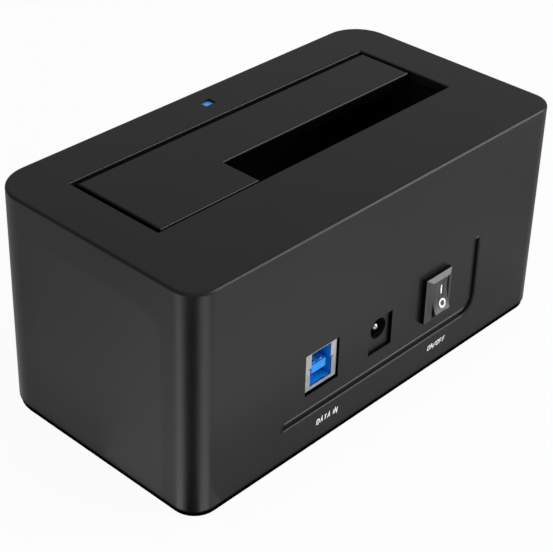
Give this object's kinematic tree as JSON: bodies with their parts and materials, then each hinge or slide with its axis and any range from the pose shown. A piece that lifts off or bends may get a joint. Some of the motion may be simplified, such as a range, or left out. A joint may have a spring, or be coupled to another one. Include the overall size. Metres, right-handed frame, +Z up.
{
  "type": "hard drive docking station",
  "caption": "Desktop docking station for a bare hard drive: black box with a flap-covered bay in its top, and a data port, power jack and rocker switch at the rear.",
  "frame": {"origin": "middle of the bottom of the part's box, on the surface that the feet stand on; the box takes in the rocker, which reaches behind the rear face, so the casing's middle is 1.63 mm towards -Y", "axes": "+X along the casing's length, +Y out of the rear face with the ports, +Z up out of the drive bay"},
  "size_m": [0.138, 0.0762, 0.065],
  "materials": {
    "case_abs": "satin moulded black ABS",
    "inner_abs": "matt moulded black ABS",
    "foot_rubber": "matt black rubber",
    "plated_steel": "zinc plated",
    "port_steel": "tin plated sheet",
    "spring_steel": "drawn wire",
    "contact_brass": "plated contact strip",
    "port_blue": "moulded blue nylon",
    "board_laminate": "green solder mask",
    "chip_epoxy": "moulded black epoxy",
    "light_acrylic": "tinted clear acrylic",
    "led_lens": "clear epoxy",
    "capacitor_can": "sleeved aluminium can",
    "ferrite": "pressed ferrite",
    "ceramic": "fired ceramic",
    "detent_nylon": "natural nylon",
    "wire_pvc": "red insulation"
  },
  "bodies": {
    "casing": {"main_shell": "case_abs", "base_plate": "inner_abs", "base_screws": "plated_steel", "rubber_feet": "foot_rubber", "drive_well": "inner_abs", "well_screws": "plated_steel", "hinge_rod": "plated_steel", "flap_springs": "spring_steel", "main_board": "board_laminate", "board_screws": "plated_steel", "sata_housing": "inner_abs", "sata_contacts": "contact_brass", "usb_shell": "port_steel", "usb_insulator": "port_blue", "usb_contacts": "contact_brass", "dc_jack_body": "case_abs", "dc_center_pin": "plated_steel", "dc_side_contact": "plated_steel", "switch_housing": "case_abs", "switch_terminals": "contact_brass", "switch_wires": "wire_pvc", "status_led": "led_lens", "light_pipe": "light_acrylic", "controller_chip": "chip_epoxy", "flash_chip": "chip_epoxy", "regulator_chip": "chip_epoxy", "power_inductor": "ferrite", "electrolytic_capacitors": "capacitor_can", "crystal_can": "plated_steel", "ceramic_passives": "ceramic"},
    "flap": {"drive_flap": "case_abs"},
    "rocker": {"switch_rocker": "case_abs", "detent_plunger": "detent_nylon", "detent_spring": "spring_steel"},
    "blade": {"contact_blade": "contact_brass"}
  },
  "joints": [
    {"name": "flap_hinge", "type": "hinge", "parent": "casing", "child": "flap", "pos_m": [0, -0.02393, 0.06035], "axis": [1, 0, 0], "range_deg": [-88, 0], "stiffness_Nm_per_rad": 0.004, "springref_deg": 28.65, "deforming": ["flap_springs"]},
    {"name": "rocker_tilt", "type": "hinge", "parent": "casing", "child": "rocker", "pos_m": [-0.02, 0.03217, 0.02515], "axis": [1, 0, 0], "range_deg": [-16, 0]},
    {"name": "blade_tilt", "type": "hinge", "parent": "casing", "child": "blade", "pos_m": [-0.02, 0.02517, 0.02515], "axis": [1, 0, 0], "range_deg": [0, 10.67]}
  ],
  "couplings": [
    {"joint": "blade_tilt", "follows": "rocker_tilt", "ratio": -0.66667}
  ]
}
